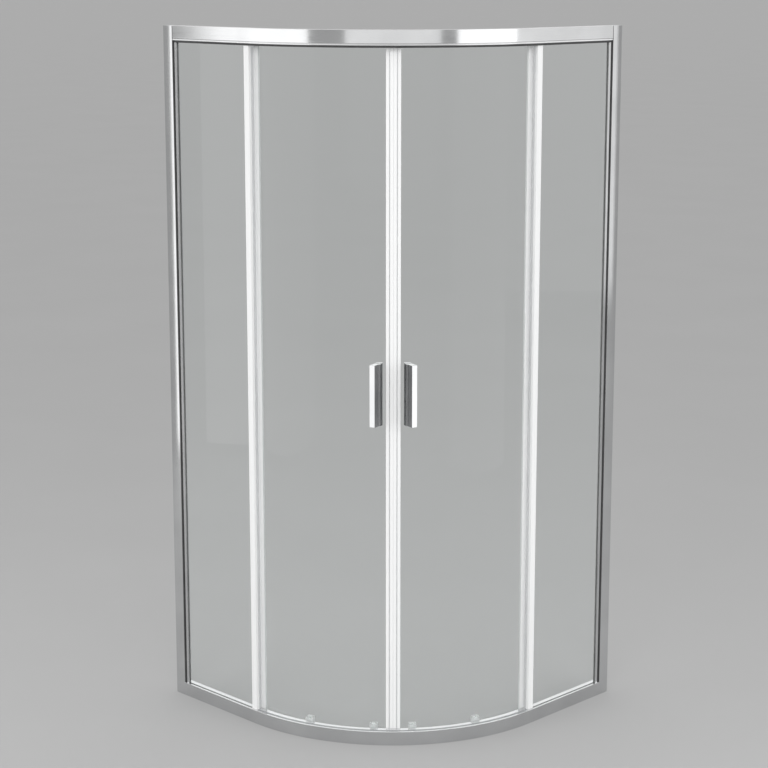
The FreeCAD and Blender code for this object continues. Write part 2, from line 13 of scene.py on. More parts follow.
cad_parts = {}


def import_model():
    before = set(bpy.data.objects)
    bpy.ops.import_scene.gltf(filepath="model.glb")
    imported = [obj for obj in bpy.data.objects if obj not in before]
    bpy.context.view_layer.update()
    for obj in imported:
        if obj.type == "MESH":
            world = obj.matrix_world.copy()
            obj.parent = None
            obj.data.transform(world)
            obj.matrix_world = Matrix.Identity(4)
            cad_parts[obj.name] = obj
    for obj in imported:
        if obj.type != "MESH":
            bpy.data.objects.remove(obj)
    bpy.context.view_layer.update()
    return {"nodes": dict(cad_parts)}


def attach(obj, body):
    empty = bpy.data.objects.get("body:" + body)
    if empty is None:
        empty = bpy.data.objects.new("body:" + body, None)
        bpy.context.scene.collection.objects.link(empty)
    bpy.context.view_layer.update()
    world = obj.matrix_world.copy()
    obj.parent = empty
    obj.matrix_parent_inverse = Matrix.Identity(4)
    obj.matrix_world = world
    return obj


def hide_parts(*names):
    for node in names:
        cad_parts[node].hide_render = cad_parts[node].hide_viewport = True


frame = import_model()
nodes = frame["nodes"]

MM = 0.001

# ---- rails, as in the source ----
height = 1946.0
corner_radius = 550.0
arc_centre = (-100.0, 100.0)
rail_inner = 521.5
rail_wall = 1.5
web_inner = 534.0
groove_inner = 535.5
groove_outer = 544.5
face_bottom = 1906.0
leg_bottom = 1900.0
shelf_top = 1904.5
lip_top = 1909.5
top_inner_lip = 4.0
bottom_top = 39.0
guide_lip_bottom = 33.5
groove_floor = 15.0
infill_wall = 1.2
infill_clearance = 0.1

# ---- trim of the top rail that only the looks have, with its painted shade ----
bead_top = 1911.0             # bead along the lower edge of the face
bead_crest = 1907.4
bead_depth = 1.1
gap_width = 2.4               # room for a black strip of painted shade between a post and the rail
painted_shade_below = 1905.0           # faces of the leg below this height are painted black as shade under the face

# ---- wall profiles and posts ----
wall_face = -350.0
post_front = -312.0
profile_end = -312.3
profile_inner = 530.0
profile_inner_end = -319.5
profile_wall = 1.5
profile_crown = ((-350, 549.0), (-346, 549.32), (-342, 549.58), (-338, 549.79), (-334, 549.92),
                 (-328, 550.0), (-322, 549.93), (-317, 549.78), (-312.3, 549.55))   # (s, r)
wall_holes = (150.0, 700.0, 1250.0, 1800.0)
wall_hole_radius = 2.75
post_screw_heights = (200.0, 973.0, 1746.0)
post_screw_middle = -333.0
post_screw_hole = 2.1
# extent of the black strip of painted shade beside each post
shade_strip_inner = 545.8
shade_strip_outer = 549.0
shade_strip_top_gap = 0.6

# ---- glass ----
fixed_edge = -1.0             # free edge of a fixed pane
fixed_inner = 537.0
fixed_outer = 543.0
fixed_glass_box = (-324.0, fixed_edge, 18.0, 1925.0)   # s0, s1, z0, z1
door_inner = 511.5
door_outer = 517.5
door_middle = (door_inner + door_outer) / 2
door_bottom = 34.0
door_top = 1936.0
inner_face = 511.2            # flat fittings on the hollow face of the curved glass
arris = 0.6
carrier_hole_radius = 7.0
guide_hole_radius = 4.3
handle_hole_radius = 4.0
cut_margin = 3.0              # cutters run this far past the material

# ---- seals ----
seal_wall = 1.0
seal_fit = 0.1
edge_seal_length = 18.0
edge_seal_front = 1.0
edge_fin_tip = -5.4
edge_fin_end = 525.0
fin_thickness = 1.0
rear_edge = -8.0              # rear edge of the door glass
rear_seal_overlap = 17.0
door_fin_tip = -4.9
door_fin_reach = 9.9
fin_rail_gap = 0.8
meeting_gap = 0.3
magnet_box_depth = 9.45
magnet_half = 4.5
magnet_leg = 9.0
magnet_neck = 1.0
neck_round = 0.8              # rounding either side of the groove over the neck
bridge_inset = 1.0
bridge_into_leg = 0.1         # degrees
bridge_into_box = 0.02
round_step = 0.3              # degrees between points of the magnet seal

# ---- rollers and guides ----
carriers = {"rear": 20.0, "front": 39.0}
guides = {"rear": 18.2, "front": 39.0}
axle_height = 1914.8
bolt_height = 1924.8
guide_axle_height = 29.2
guide_hole_height = 44.0
wheel_pitch = 26.0
tread_inner = 526.5
tread_width = 4.0
hub_width = 3.0
top_tyre = (10.0, 2.0, 3.05)  # radius, rim, bore
guide_tyre = (8.0, 1.5, 2.55)
cap_radius = 12.0
cap_depth = 5.0
cap_edge = 1.5
cap_eye = 0.4                 # pinhole on the axis
cap_ring = (6.5, 8.5)         # shallow groove in the cap's face
cap_ring_depth = 0.5
stud_radius = 4.0
stud_end = 522.2

# ---- handles ----
handle_low = 898.0
handle_high = 1067.0
handle_from_meeting = 38.5
handle_foot_half = 9.8
handle_foot_gap = 0.3
handle_lean = 25.0
handle_base = 16.0
handle_ledge = 2.4
handle_grip_length = 22.5
handle_grip_thickness = 16.2
handle_screws = (932.5, 1032.5)
boss_bore = 2.5
boss_radius = 3.7
boss_overlap = 2.0

# ---- softened edges ----
rail_edge = 0.6
strip_edge = 0.4
channel_edge = 0.35
fin_edge = 0.4
tyre_edge = 0.5
profile_edge = 0.3

# ---- spacing of points ----
level_step = 400.0
straight_step = 80.0
arc_step = 1.0                # degrees
leg_step = 4.0

# ---- camera ----
camera_place = (3.8192, -3.868, 2.1)
camera_down = 11.01
camera_turn = 44.89
camera_lens = 90.84
camera_shift = -0.05
camera_reach = 1200.0
floor_reach = 400.0


def degrees(along, radius=door_middle):
    """Angle round the arc of a length measured along it."""
    return math.degrees(along / radius)


front_edge = 45 - degrees(meeting_gap / 2 + magnet_box_depth + magnet_neck)
handle_angle = 45 - degrees(handle_from_meeting, door_outer)


# ---- placing ----
def at(s, r, z, phi=0.0):
    """Point of the left half's local frame, in the row frame."""
    a = math.radians(phi)
    x = arc_centre[0] + s * math.cos(a) + r * math.sin(a)
    y = arc_centre[1] + s * math.sin(a) - r * math.cos(a)
    return Vector((x, y, z)) * MM


def spread(low, high, step):
    """Values from low to high, no more than step apart."""
    count = max(1, math.ceil((high - low) / step))
    return [low + (high - low) * k / count for k in range(count + 1)]


def soft(points, radius, steps=3):
    """Closed outline with its corners rounded."""
    out = []
    for i, corner in enumerate(points):
        p = Vector(corner)
        a = Vector(points[i - 1]) - p
        b = Vector(points[(i + 1) % len(points)]) - p
        start = p + a.normalized() * min(radius, 0.45 * a.length)
        end = p + b.normalized() * min(radius, 0.45 * b.length)
        for k in range(steps + 1):
            t = k / steps
            out.append(start * (1 - t) ** 2 + p * (2 * t * (1 - t)) + end * t ** 2)
    return out


# ---- building ----
def solid(name, rings, closed=False):
    """Mesh object through a row of closed rings of points."""
    mesh = bpy.data.meshes.new(name)
    bm = bmesh.new()
    rows = [[bm.verts.new(point) for point in ring] for ring in rings]
    pairs = list(zip(rows, rows[1:]))
    if closed:
        pairs.append((rows[-1], rows[0]))
    for one, two in pairs:
        for i in range(len(one)):
            j = (i + 1) % len(one)
            bm.faces.new((one[i], one[j], two[j], two[i]))
    if not closed:
        bm.faces.new(rows[0])
        bm.faces.new(rows[-1])
    bmesh.ops.recalc_face_normals(bm, faces=bm.faces)
    bm.to_mesh(mesh)
    bm.free()
    piece = bpy.data.objects.new(name, mesh)
    bpy.context.scene.collection.objects.link(piece)
    return piece


def merged(name, pieces):
    """Several mesh objects as one."""
    bm = bmesh.new()
    for piece in pieces:
        bm.from_mesh(piece.data)
        bpy.data.objects.remove(piece)
    mesh = bpy.data.meshes.new(name)
    bm.to_mesh(mesh)
    bm.free()
    joined = bpy.data.objects.new(name, mesh)
    bpy.context.scene.collection.objects.link(joined)
    return joined


def mirrored_mesh(name, piece):
    """Copy of a left piece as its right one."""
    mesh = piece.data.copy()
    mesh.name = name
    mesh.transform(Matrix(((0, -1, 0, 0), (-1, 0, 0, 0), (0, 0, 1, 0), (0, 0, 0, 1))))
    mesh.flip_normals()
    other = bpy.data.objects.new(name, mesh)
    bpy.context.scene.collection.objects.link(other)
    return other


def bevelled(piece, width, segments=2, angle=35):
    edge = piece.modifiers.new("edge", "BEVEL")
    edge.width = width * MM
    edge.segments = segments
    edge.limit_method = "ANGLE"
    edge.angle_limit = math.radians(angle)
    edge.miter_outer = "MITER_ARC"
    return piece


def finished(piece, body, material, replaced, sharp=40):
    """Shading, material, body and the nodes that a piece stands for."""
    piece.data.shade_smooth()
    piece.data.set_sharp_from_angle(angle=math.radians(sharp))
    normals = piece.modifiers.new("normals", "WEIGHTED_NORMAL")
    normals.keep_sharp = True
    if not piece.data.materials:
        piece.data.materials.append(material)
    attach(piece, body)
    if replaced:
        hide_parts(*replaced)
    return piece


def pair(piece, name, body, material, replaced, sharp=40):
    """The left piece and its reflection."""
    other = mirrored_mesh(name + "_right", piece)
    for modifier in piece.modifiers:
        if modifier.type == "BEVEL":
            limit = math.degrees(modifier.angle_limit)
            bevelled(other, modifier.width / MM, modifier.segments, limit)
    bodies = (body + "_left", body + "_right") if body != "frame" else ("frame", "frame")
    finished(piece, bodies[0], material, [n + "_left" for n in replaced], sharp)
    finished(other, bodies[1], material, [n + "_right" for n in replaced], sharp)


def upright(name, outline, levels):
    """Upright bar on an outline of (phi, s, r) points."""
    return solid(name, [[at(s, r, z, phi) for phi, s, r in outline] for z in levels])


# ---- materials ----
def shader(name, colour, roughness, metallic=0.0):
    material = bpy.data.materials.new(name)
    material.use_nodes = True
    bsdf = material.node_tree.nodes["Principled BSDF"]
    bsdf.inputs["Base Color"].default_value = (*colour, 1)
    bsdf.inputs["Roughness"].default_value = roughness
    bsdf.inputs["Metallic"].default_value = metallic
    return material, material.node_tree, bsdf


def grain(tree, scale, detail=4.0, stretch=(1, 1, 1)):
    """Noise in the object's own space, stretched along one way."""
    place = tree.nodes.new("ShaderNodeTexCoord")
    mapping = tree.nodes.new("ShaderNodeMapping")
    mapping.inputs["Scale"].default_value = stretch
    noise = tree.nodes.new("ShaderNodeTexNoise")
    noise.inputs["Scale"].default_value = scale
    noise.inputs["Detail"].default_value = detail
    tree.links.new(place.outputs["Object"], mapping.inputs["Vector"])
    tree.links.new(mapping.outputs["Vector"], noise.inputs["Vector"])
    return noise.outputs["Fac"]


def ranged(tree, value, low, high):
    step = tree.nodes.new("ShaderNodeMapRange")
    step.inputs["From Min"].default_value = 0.3
    step.inputs["From Max"].default_value = 0.7
    step.inputs["To Min"].default_value = low
    step.inputs["To Max"].default_value = high
    tree.links.new(value, step.inputs["Value"])
    return step.outputs["Result"]


def blended(tree, value, one, two):
    mix = tree.nodes.new("ShaderNodeMix")
    mix.data_type = "RGBA"
    mix.inputs["A"].default_value = (*one, 1)
    mix.inputs["B"].default_value = (*two, 1)
    tree.links.new(ranged(tree, value, 0, 1), mix.inputs["Factor"])
    return mix.outputs["Result"]


def bumped(tree, bsdf, value, strength, distance):
    bump = tree.nodes.new("ShaderNodeBump")
    bump.inputs["Strength"].default_value = strength
    bump.inputs["Distance"].default_value = distance
    tree.links.new(value, bump.inputs["Height"])
    tree.links.new(bump.outputs["Normal"], bsdf.inputs["Normal"])


def metal(name, one, two, rough, stretch, scale=1.0, strength=0.05):
    """Metal with fine lines or a cast grain: colour, roughness and bump follow one noise."""
    material, tree, bsdf = shader(name, one, rough[0], 1.0)
    lines = grain(tree, scale, 5.0, stretch)
    clouds = grain(tree, 9.0, 2.0)
    tree.links.new(blended(tree, clouds, one, two), bsdf.inputs["Base Color"])
    tree.links.new(ranged(tree, lines, *rough), bsdf.inputs["Roughness"])
    bumped(tree, bsdf, lines, strength, 0.0001)
    return material


def plastic(name, one, two, rough, scale=350.0, strength=0.08):
    material, tree, bsdf = shader(name, one, rough[0])
    fine = grain(tree, scale, 4.0)
    clouds = grain(tree, 14.0, 3.0)
    tree.links.new(blended(tree, clouds, one, two), bsdf.inputs["Base Color"])
    tree.links.new(ranged(tree, fine, *rough), bsdf.inputs["Roughness"])
    bumped(tree, bsdf, fine, strength, 0.0002)
    return material


def see_through(material, tree, bsdf, share=1.0):
    """Lets a share of the lamps' light through: all of it by default, as a clear pane does."""
    out = tree.nodes["Material Output"]
    path = tree.nodes.new("ShaderNodeLightPath")
    clear = tree.nodes.new("ShaderNodeBsdfTransparent")
    mix = tree.nodes.new("ShaderNodeMixShader")
    part = tree.nodes.new("ShaderNodeMath")
    part.operation = "MULTIPLY"
    part.inputs[1].default_value = share
    tree.links.new(path.outputs["Is Shadow Ray"], part.inputs[0])
    tree.links.new(part.outputs["Value"], mix.inputs["Fac"])
    tree.links.new(bsdf.outputs["BSDF"], mix.inputs[1])
    tree.links.new(clear.outputs["BSDF"], mix.inputs[2])
    tree.links.new(mix.outputs["Shader"], out.inputs["Surface"])
    return material


def glass(name, colour, roughness, transmission):
    material, tree, bsdf = shader(name, colour, roughness)
    bsdf.inputs["Transmission Weight"].default_value = transmission
    bsdf.inputs["IOR"].default_value = 1.5
    bsdf.inputs["Specular Tint"].default_value = (0.15, 0.15, 0.15, 1)
    return see_through(material, tree, bsdf)


milky_share = 0.92            # of the light that passes each face of milky plastic


def milky(name, one, two, clearness=0.0):
    """Extruded soft plastic with faint drawing lines along its length."""
    material, tree, bsdf = shader(name, one, 0.3)
    clouds = grain(tree, 6.0, 3.0, (1, 1, 0.2))
    lines = grain(tree, 1.0, 3.0, (900, 900, 6))
    tree.links.new(blended(tree, clouds, one, two), bsdf.inputs["Base Color"])
    tree.links.new(ranged(tree, lines, 0.24, 0.36), bsdf.inputs["Roughness"])
    bsdf.inputs["Transmission Weight"].default_value = clearness
    bumped(tree, bsdf, lines, 0.05, 0.0001)
    return see_through(material, tree, bsdf, milky_share)


bright = ((0.64, 0.645, 0.65), (0.7, 0.705, 0.71))
aluminium_rail = metal("aluminium_rail", *bright, (0.09, 0.17), (5, 5, 700))
aluminium_post = metal("aluminium_post", *bright, (0.09, 0.17), (700, 700, 5))
zinc = metal("zinc", (0.5, 0.51, 0.53), (0.58, 0.59, 0.6), (0.35, 0.5), (1, 1, 1), 500.0, 0.2)
steel = metal("steel", (0.66, 0.67, 0.68), (0.72, 0.72, 0.73), (0.22, 0.34), (1, 1, 1), 400.0, 0.1)
chrome = metal("chrome", (0.6, 0.606, 0.61), (0.64, 0.645, 0.65), (0.04, 0.09), (1, 1, 1), 60.0, 0.02)
# Darker copy of chrome for the handle's flanks: painted shade.
chrome_painted_shade = metal("chrome_painted_shade", (0.17, 0.173, 0.178), (0.23, 0.234, 0.24), (0.16, 0.26), (900, 900, 6))
infill_grey = plastic("infill_grey", (0.27, 0.28, 0.29), (0.32, 0.33, 0.34), (0.3, 0.42))
cap_plastic = plastic("cap_plastic", (0.6, 0.61, 0.63), (0.64, 0.65, 0.67), (0.25, 0.35))
# Black rubber of the end stops, also used as painted shade under the top rail's face and beside the posts.
rubber_and_painted_shade = plastic("rubber_and_painted_shade", (0.035, 0.035, 0.036), (0.06, 0.06, 0.06), (0.5, 0.68), 600.0, 0.15)
gasket_rubber = plastic("gasket_rubber", (0.2, 0.2, 0.2), (0.26, 0.26, 0.26), (0.45, 0.6), 600.0, 0.15)
magnet_rubber = plastic("magnet_rubber", (0.68, 0.69, 0.69), (0.75, 0.76, 0.76), (0.4, 0.55))
guide_plastic = milky("guide_plastic", (0.92, 0.93, 0.93), (0.96, 0.965, 0.965), 0.9)
nylon = plastic("nylon", (0.8, 0.8, 0.78), (0.87, 0.87, 0.85), (0.3, 0.42))
pvc = milky("pvc", (0.81, 0.815, 0.815), (0.85, 0.855, 0.855))
clear_pvc = milky("clear_pvc", (0.74, 0.75, 0.755), (0.8, 0.81, 0.815), 0.75)
clear = glass("clear", (0.97, 0.99, 0.985), 0.0, 1.0)
glass_edge = glass("glass_edge", (0.55, 0.78, 0.7), 0.3, 0.6)


# ---- rails ----
def rail_stations(gap=0.0):
    """(s, phi) along the left straight, the arc and the right straight, a gap short of the posts."""
    left = [(s, 0.0) for s in spread(post_front + gap, 0, straight_step)]
    arc = [(0.0, phi) for phi in spread(0, 90, arc_step)]
    right = [(s, 90.0) for s in spread(0, -post_front - gap, straight_step)]
    return left + arc[1:-1] + right


def swept(name, section, stations):
    return solid(name, [[at(s, r, z, phi) for r, z in section] for s, phi in stations])


def top_rail():
    face_inner = corner_radius - rail_wall
    leg_outer = groove_outer + rail_wall
    foot_outer = leg_outer + rail_wall
    foot_top = leg_bottom + rail_wall
    lip_outer = rail_inner + rail_wall
    under = height - rail_wall
    section = [
        (corner_radius, height), (corner_radius, bead_top),
        (corner_radius - bead_depth, bead_top - bead_depth), (corner_radius, bead_crest),
        (corner_radius, face_bottom), (leg_outer, face_bottom), (leg_outer, foot_top),
        (foot_outer, foot_top), (foot_outer, leg_bottom), (groove_outer, leg_bottom),
        (groove_outer, face_bottom + rail_wall), (face_inner, face_bottom + rail_wall),
        (face_inner, under), (groove_inner, under), (groove_inner, leg_bottom),
        (web_inner, leg_bottom), (web_inner, shelf_top - rail_wall),
        (rail_inner, shelf_top - rail_wall), (rail_inner, lip_top), (lip_outer, lip_top),
        (lip_outer, shelf_top), (web_inner, shelf_top), (web_inner, under), (lip_outer, under),
        (lip_outer, under - top_inner_lip), (rail_inner, under - top_inner_lip),
        (rail_inner, height),
    ]
    piece = swept("rail_over_doors", soft(section, rail_edge), rail_stations(gap_width))
    piece.data.materials.append(aluminium_rail)
    piece.data.materials.append(rubber_and_painted_shade)
    # Painted shade: faces of the leg under the face take black rubber, standing in for the shade there.
    for polygon in piece.data.polygons:
        if polygon.center.z < painted_shade_below * MM:
            polygon.material_index = 1
    bevelled(piece, 0.4, 2, 60)
    finished(piece, "frame", aluminium_rail, ["top_rail"])


def bottom_rail():
    section = [
        (corner_radius, bottom_top), (corner_radius, 0), (rail_inner, 0), (rail_inner, rail_wall),
        (web_inner, rail_wall), (web_inner, bottom_top - rail_wall),
        (rail_inner + rail_wall, bottom_top - rail_wall), (rail_inner + rail_wall, guide_lip_bottom),
        (rail_inner, guide_lip_bottom), (rail_inner, bottom_top),
        (groove_inner, bottom_top), (groove_inner, groove_floor),
        (groove_outer, groove_floor), (groove_outer, bottom_top),
    ]
    piece = swept("rail_on_floor", soft(section, rail_edge), rail_stations())
    finished(piece, "frame", aluminium_rail, ["bottom_rail"])
    inner = groove_inner + infill_clearance
    outer = groove_outer - infill_clearance
    strip = [
        (outer, bottom_top), (outer, groove_floor), (outer - infill_wall, groove_floor),
        (outer - infill_wall, bottom_top - infill_wall), (inner + infill_wall, bottom_top - infill_wall),
        (inner + infill_wall, groove_floor), (inner, groove_floor), (inner, bottom_top),
    ]
    stations = [(0.0, phi) for phi in spread(0, 90, arc_step)]
    piece = swept("groove_strip", soft(strip, strip_edge), stations)
    finished(piece, "frame", infill_grey, ["rail_infill"])


# ---- glass ----
def arrised(low, high):
    """Cross-section of a pane with ground edges: (across the pane, along it)."""
    inner, start = low
    outer, end = high
    return [
        (inner + arris, start), (outer - arris, start), (outer, start + arris),
        (outer, end - arris), (outer - arris, end), (inner + arris, end),
        (inner, end - arris), (inner, start + arris),
    ]


def edge_faces(piece, largest):
    """Faces up to an area, the ground edges of a pane, take the greenish edge glass."""
    piece.data.materials.append(clear)
    piece.data.materials.append(glass_edge)
    for polygon in piece.data.polygons:
        if polygon.area < largest:
            polygon.material_index = 1


def fixed_glass():
    s0, s1, low, high = fixed_glass_box
    outline = arrised((fixed_inner, s0), (fixed_outer, s1))
    middle = (fixed_inner + fixed_outer) / 2
    half = (fixed_outer - fixed_inner) / 2
    rings = []
    for inset, z in ((arris, low), (0.0, low + arris), (0.0, high - arris), (arris, high)):
        ring = []
        for r, s in outline:
            r = middle + (r - middle) * (1 - inset / half)
            s = min(max(s, s0 + inset), s1 - inset)
            ring.append(at(s, r, z))
        rings.append(ring)
    piece = solid("side_pane_left", rings)
    edge_faces(piece, 0.1)
    pair(piece, "side_pane", "frame", clear, ["fixed_glass"], sharp=20)


def without(piece, drill):
    """Takes the drill's shape out of the piece."""
    cut = piece.modifiers.new("hole", "BOOLEAN")
    cut.operation = "DIFFERENCE"
    cut.solver = "EXACT"
    cut.object = drill
    depsgraph = bpy.context.evaluated_depsgraph_get()
    mesh = bpy.data.meshes.new_from_object(piece.evaluated_get(depsgraph))
    piece.modifiers.clear()
    piece.data = mesh
    bpy.data.objects.remove(drill)


def circle(radius, steps=32):
    turns = [2 * math.pi * k / steps for k in range(steps)]
    return [(radius * math.cos(a), radius * math.sin(a)) for a in turns]


def bored(piece, places):
    """Round holes through a curved pane, at (radius, phi, z)."""
    ends = (door_inner - cut_margin, door_outer + cut_margin)
    for radius, phi, z in places:
        drill = solid("drill", [[at(s, r, z + up, phi) for s, up in circle(radius)] for r in ends])
        drill.data.materials.append(clear)
        drill.data.materials.append(glass_edge)
        for polygon in drill.data.polygons:
            polygon.material_index = 1
        without(piece, drill)


def door_glass():
    section = arrised((door_inner, door_bottom), (door_outer, door_top))
    stations = [(0.0, phi) for phi in spread(degrees(rear_edge), front_edge, arc_step)]
    piece = swept("curved_pane_left", section, stations)
    edge_faces(piece, 0.01)
    places = [(carrier_hole_radius, phi, bolt_height) for phi in carriers.values()]
    places += [(guide_hole_radius, phi, guide_hole_height) for phi in guides.values()]
    places += [(handle_hole_radius, handle_angle, z) for z in handle_screws]
    bored(piece, places)
    pair(piece, "curved_pane", "door", clear, ["door_glass"], sharp=20)


# ---- seals ----
def extrusion(name, pieces, softer=()):
    """Seal of milky lengths, and of the clear ones named in softer."""
    for piece in softer:
        for polygon in piece.data.polygons:
            polygon.material_index = 1
    seal = merged(name, [*pieces, *softer])
    seal.data.materials.append(pvc)
    seal.data.materials.append(clear_pvc)
    return seal


def edge_seal():
    levels = spread(bottom_top, leg_bottom, level_step)
    start = fixed_edge - edge_seal_length
    outer = fixed_outer + seal_wall
    inner = fixed_inner - seal_wall
    channel = soft([
        (start, outer), (edge_seal_front, outer), (edge_seal_front, inner), (start, inner),
        (start, fixed_inner), (fixed_edge, fixed_inner), (fixed_edge, fixed_outer),
        (start, fixed_outer),
    ], channel_edge)
    root = inner + seal_wall / 2
    fin = soft([
        (-fin_thickness, root), (edge_seal_front, root),
        (edge_fin_tip + fin_thickness, edge_fin_end), (edge_fin_tip, edge_fin_end),
    ], fin_edge)
    walls = upright("channel", [(0.0, s, r) for s, r in channel], levels)
    blade = upright("fin", [(0.0, s, r) for s, r in fin], levels)
    piece = extrusion("pane_edge_seal_left", [walls], [blade])
    pair(piece, "pane_edge_seal", "frame", pvc, ["fixed_edge_seal"])


def curved_band(angles, r0, r1):
    """Band round the arc, as an outline of (phi, s, r) points."""
    return [(phi, 0.0, r1) for phi in angles] + [(phi, 0.0, r0) for phi in reversed(angles)]


def curved_leg(along0, along1, r0, r1):
    """Band between two lengths measured along the arc."""
    return curved_band([degrees(a) for a in spread(along0, along1, leg_step)], r0, r1)


def rear_seal():
    outer = door_outer + seal_fit
    inner = door_inner - seal_fit
    back = rear_edge - seal_fit
    reach = rear_edge + rear_seal_overlap
    levels = spread(door_bottom, door_top, level_step)
    legs = []
    for r0, r1 in ((outer, outer + seal_wall), (inner - seal_wall, inner)):
        legs.append(upright("leg", curved_leg(back - seal_wall, reach, r0, r1), levels))
    closing = curved_leg(back - seal_wall, back, inner - seal_wall / 2, outer + seal_wall / 2)
    legs.append(upright("closing", closing, levels))
    root = outer + seal_wall / 2
    tip = root + door_fin_reach
    fin = soft([
        (back - fin_thickness, root), (back, root),
        (door_fin_tip, tip), (door_fin_tip - fin_thickness, tip),
    ], fin_edge)
    levels = spread(bottom_top + fin_rail_gap, leg_bottom - fin_rail_gap, level_step)
    blade = upright("fin", [(0.0, s, r) for s, r in fin], levels)
    piece = extrusion("rear_door_seal_left", legs, [blade])
    pair(piece, "rear_door_seal", "door", pvc, ["rear_seal"])


def magnet_seal():
    outer = door_outer + seal_fit
    inner = door_inner - seal_fit
    end = 45 - degrees(meeting_gap / 2)
    box_back = end - degrees(magnet_box_depth - neck_round)
    leg_back = front_edge - degrees(magnet_leg)
    neck = front_edge + degrees(seal_fit - neck_round)
    levels = spread(door_bottom, door_top, level_step)
    parts = []
    for r0, r1 in ((outer, outer + seal_wall), (inner - seal_wall, inner)):
        leg = curved_band(spread(leg_back, neck, round_step), r0, r1)
        parts.append(upright("leg", leg, levels))
    ends = [neck - bridge_into_leg, box_back + bridge_into_box]
    bridge = curved_band(ends, inner + bridge_inset, outer - bridge_inset)
    joint = upright("bridge", bridge, levels)
    box = curved_band(spread(box_back, end, round_step), door_middle - magnet_half,
                      door_middle + magnet_half)
    parts.append(upright("box", box, levels))
    piece = extrusion("meeting_seal_left", parts, [joint])
    bevelled(piece, 0.5, 2, 60)
    pair(piece, "meeting_seal", "door", pvc, ["magnet_seal"])


# ---- turned pieces ----
def turned(name, profile, s, z, phi, segments=48):
    """Round piece on an outward axis, from (radius, r) points."""
    rings = []
    for k in range(segments):
        a = 2 * math.pi * k / segments
        rings.append([at(s + d * math.cos(a), r, z + d * math.sin(a), phi) for d, r in profile])
    return solid(name, rings, closed=True)


def tyre(radius, rim, bore):
    tread = tread_inner + tread_width
    hub = tread_inner + hub_width
    return soft([
        (bore, tread_inner), (radius, tread_inner), (radius, tread), (radius - rim, tread),
        (radius - rim, hub), (bore, hub),
    ], tyre_edge)


def wheels():
    for place, phi in carriers.items():
        for side, s in (("a", -wheel_pitch / 2), ("b", wheel_pitch / 2)):
            name = "top_wheel_" + place + "_" + side
            piece = turned(name + "_tyre_left", tyre(*top_tyre), s, axle_height, phi)
            pair(piece, name + "_tyre", name, nylon, [name])
    for place, phi in guides.items():
        name = "guide_wheel_" + place
        piece = turned(name + "_tyre_left", tyre(*guide_tyre), 0.0, guide_axle_height, phi)
        pair(piece, name + "_tyre", name, nylon, [name])


def carrier_caps():
    face = inner_face - cap_depth
    floor_of_ring = face + cap_ring_depth
    start, end = cap_ring
    profile = soft([
        (cap_eye, face), (start, face), (start + cap_ring_depth, floor_of_ring),
        (end - cap_ring_depth, floor_of_ring), (end, face), (cap_radius - cap_edge, face),
        (cap_radius, face + cap_edge), (cap_radius, inner_face), (stud_radius, inner_face),
        (stud_radius, stud_end), (cap_eye, stud_end),
    ], 0.4)
    discs = [turned("cap", profile, 0.0, bolt_height, phi, 64) for phi in carriers.values()]
    piece = merged("inner_cap_left", discs)
    pair(piece, "inner_cap", "door", chrome, ["carrier_caps"])


# ---- handles ----
def handles():
    lean = math.radians(handle_lean)
    along = Vector((-math.sin(lean), math.cos(lean)))
    side = Vector((math.cos(lean), math.sin(lean)))
    foot = Vector((handle_foot_half, door_outer + handle_foot_gap))
    shoulder = foot + along * handle_base
    ledge = shoulder - side * handle_ledge
    nose = ledge + along * handle_grip_length
    heel = nose - side * handle_grip_thickness
    back = heel - along * ((heel.y - foot.y) / along.y)
    outline = [(handle_angle, p.x, p.y) for p in (foot, shoulder, ledge, nose, heel, back)]
    grip = upright("grip", outline, (handle_low, handle_high))
    turn = math.radians(handle_angle)
    flank = Vector((math.cos(turn) * side.x + math.sin(turn) * side.y,
                    math.sin(turn) * side.x - math.cos(turn) * side.y, 0))
    # Painted shade: the flank faces take the darker copy of chrome.
    for polygon in grip.data.polygons:
        if abs(polygon.normal.dot(flank)) > 0.9:
            polygon.material_index = 1
    seat = foot.y + boss_overlap
    profile = [(boss_bore, door_middle), (boss_radius, door_middle), (boss_radius, seat), (boss_bore, seat)]
    bosses = [turned("boss", profile, 0.0, z, handle_angle, 32) for z in handle_screws]
    piece = merged("grip_left", [grip] + bosses)
    piece.data.materials.append(chrome)
    piece.data.materials.append(chrome_painted_shade)
    bevelled(piece, 0.6, 3)
    pair(piece, "grip", "door", chrome, ["handle_outer"])


# ---- wall profiles, and the black strips of painted shade between the posts and what they hold ----
def wall_profile():
    inside = corner_radius - profile_wall
    outline = soft([
        (wall_face, profile_inner), *profile_crown, (profile_end, inside),
        (wall_face + profile_wall, inside), (wall_face + profile_wall, profile_inner + profile_wall),
        (profile_inner_end, profile_inner + profile_wall), (profile_inner_end, profile_inner),
    ], profile_edge)
    piece = upright("profile_on_wall_left", [(0.0, s, r) for s, r in outline], (0, height))
    middle = (profile_inner + corner_radius) / 2
    hole = circle(wall_hole_radius)
    ends = (wall_face - cut_margin, wall_face + cut_margin)
    for z in wall_holes:
        without(piece, solid("drill", [[at(s, middle + out, z + up) for out, up in hole] for s in ends]))
    hole = circle(post_screw_hole)
    ends = (profile_inner - cut_margin, middle)
    for z in post_screw_heights:
        rings = [[at(post_screw_middle + along, r, z + up) for along, up in hole] for r in ends]
        without(piece, solid("drill", rings))
    piece.data.materials.append(aluminium_post)
    bevelled(piece, 0.3, 2, 60)
    pair(piece, "profile_on_wall", "frame", aluminium_post, ["wall_profile"])


def painted_shade_strip():
    """Upright black strip of painted shade between a post and the ends of the top rail and the pane."""
    end = post_front + gap_width
    outline = soft([
        (post_front, shade_strip_inner), (end, shade_strip_inner), (end, shade_strip_outer), (post_front, shade_strip_outer),
    ], strip_edge)
    levels = (bottom_top, height - shade_strip_top_gap)
    piece = upright("shade_strip_left", [(0.0, s, r) for s, r in outline], levels)
    pair(piece, "shade_strip", "frame", rubber_and_painted_shade, [])


